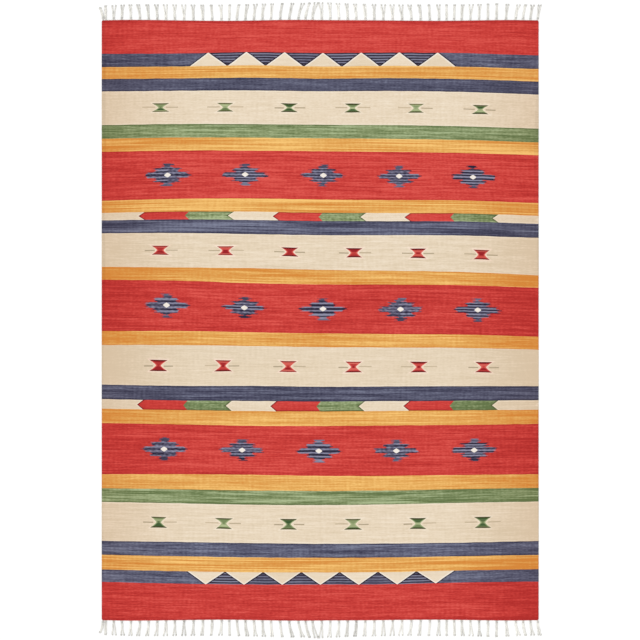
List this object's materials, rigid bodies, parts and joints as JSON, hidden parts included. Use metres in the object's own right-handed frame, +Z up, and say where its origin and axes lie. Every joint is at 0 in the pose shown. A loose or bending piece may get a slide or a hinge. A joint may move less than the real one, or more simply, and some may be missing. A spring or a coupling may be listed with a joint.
{
  "type": "kilim rug",
  "caption": "Flat-woven rug with cross stripes, stepped diamonds and toothed bands, and knotted warp fringe at both ends.",
  "frame": {"origin": "on the floor under the middle of the rug, at the centre of its underside", "axes": "+X across the rug, +Y along it towards the head end, +Z up out of the face that shows"},
  "size_m": [1.618, 2.3318, 0.006],
  "materials": {
    "woven_cloth": "weft-faced plain weave in wool on cotton warps, mostly red, with cream, gold, navy and green stripes",
    "fringe_yarn": "natural off-white plied cotton"
  },
  "bodies": {
    "root": {"woven_cloth": "woven_cloth", "fringe_head": "fringe_yarn", "fringe_foot": "fringe_yarn"}
  },
  "joints": []
}
